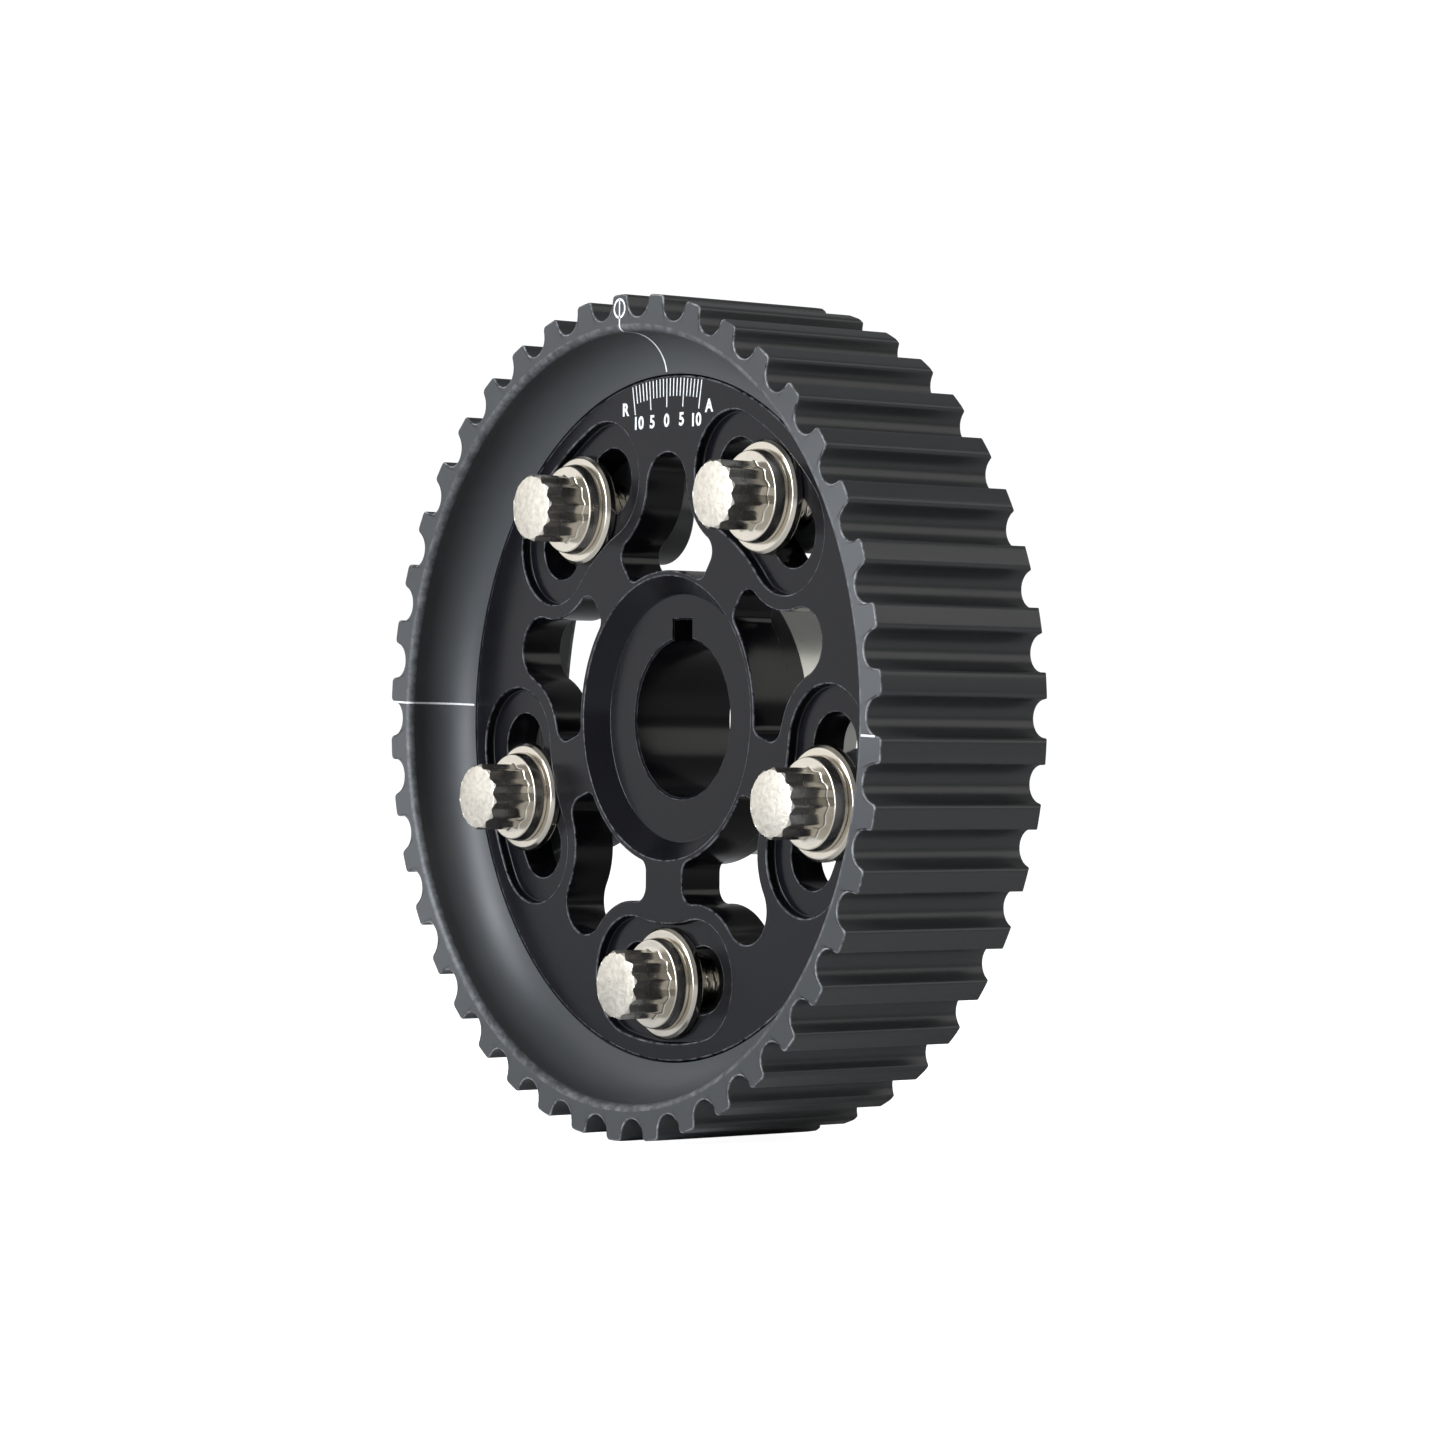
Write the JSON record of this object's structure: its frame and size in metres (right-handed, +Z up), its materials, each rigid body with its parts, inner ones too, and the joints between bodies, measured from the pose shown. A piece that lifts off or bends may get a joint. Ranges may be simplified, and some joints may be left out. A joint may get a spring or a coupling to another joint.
{
  "type": "timing belt pulley",
  "caption": "Adjustable cam timing belt pulley: a toothed ring clamped by flange bolts in curved slots to a keyed hub plate with lightening windows and a degree dial.",
  "frame": {"origin": "on the shaft axis, half way along the toothed face", "axes": "+Y along the shaft axis, away from the dial side; +Z up through the keyway and the dial's zero; +X to the right of someone who faces the dial"},
  "size_m": [0.1258, 0.0306, 0.126],
  "materials": {
    "ring_anodised": "hard anodised, dark grey, satin",
    "hub_anodised": "black anodised, satin gloss",
    "sleeve_steel": "ground bright",
    "washer_nickel": "bright nickel plate",
    "bolt_nickel": "bright nickel plate"
  },
  "bodies": {
    "hub": {"hub": "hub_anodised", "boss_sleeve": "sleeve_steel"},
    "ring": {"ring_gear": "ring_anodised"},
    "washer_1": {"washer_1": "washer_nickel"},
    "bolt_1": {"clamp_bolt_1": "bolt_nickel"},
    "washer_2": {"washer_2": "washer_nickel"},
    "bolt_2": {"clamp_bolt_2": "bolt_nickel"},
    "washer_3": {"washer_3": "washer_nickel"},
    "bolt_3": {"clamp_bolt_3": "bolt_nickel"},
    "washer_4": {"washer_4": "washer_nickel"},
    "bolt_4": {"clamp_bolt_4": "bolt_nickel"},
    "washer_5": {"washer_5": "washer_nickel"},
    "bolt_5": {"clamp_bolt_5": "bolt_nickel"}
  },
  "joints": [
    {"name": "phase_adjust", "type": "hinge", "parent": "hub", "child": "ring", "pos_m": [0, 0, 0], "axis": [0, 1, 0], "range_deg": [-12, 12]},
    {"name": "washer_1_lift", "type": "slide", "parent": "ring", "child": "washer_1", "axis": [0, 1, 0], "range_m": [-0.01, 0]},
    {"name": "bolt_1_turn", "type": "hinge", "parent": "washer_1", "child": "bolt_1", "pos_m": [0.02341, -0.00654, 0.03223], "axis": [0, 1, 0], "range_deg": [-2880, 0]},
    {"name": "washer_2_lift", "type": "slide", "parent": "ring", "child": "washer_2", "axis": [0, 1, 0], "range_m": [-0.01, 0]},
    {"name": "bolt_2_turn", "type": "hinge", "parent": "washer_2", "child": "bolt_2", "pos_m": [0.03788, -0.00654, -0.01231], "axis": [0, 1, 0], "range_deg": [-2880, 0]},
    {"name": "washer_3_lift", "type": "slide", "parent": "ring", "child": "washer_3", "axis": [0, 1, 0], "range_m": [-0.01, 0]},
    {"name": "bolt_3_turn", "type": "hinge", "parent": "washer_3", "child": "bolt_3", "pos_m": [0, -0.00654, -0.03983], "axis": [0, 1, 0], "range_deg": [-2880, 0]},
    {"name": "washer_4_lift", "type": "slide", "parent": "ring", "child": "washer_4", "axis": [0, 1, 0], "range_m": [-0.01, 0]},
    {"name": "bolt_4_turn", "type": "hinge", "parent": "washer_4", "child": "bolt_4", "pos_m": [-0.03788, -0.00654, -0.01231], "axis": [0, 1, 0], "range_deg": [-2880, 0]},
    {"name": "washer_5_lift", "type": "slide", "parent": "ring", "child": "washer_5", "axis": [0, 1, 0], "range_m": [-0.01, 0]},
    {"name": "bolt_5_turn", "type": "hinge", "parent": "washer_5", "child": "bolt_5", "pos_m": [-0.02341, -0.00654, 0.03223], "axis": [0, 1, 0], "range_deg": [-2880, 0]}
  ],
  "couplings": [
    {"joint": "bolt_1_turn", "follows": "washer_1_lift", "rad_per_m": 5026.5},
    {"joint": "bolt_2_turn", "follows": "washer_2_lift", "rad_per_m": 5026.5},
    {"joint": "bolt_3_turn", "follows": "washer_3_lift", "rad_per_m": 5026.5},
    {"joint": "bolt_4_turn", "follows": "washer_4_lift", "rad_per_m": 5026.5},
    {"joint": "bolt_5_turn", "follows": "washer_5_lift", "rad_per_m": 5026.5}
  ]
}
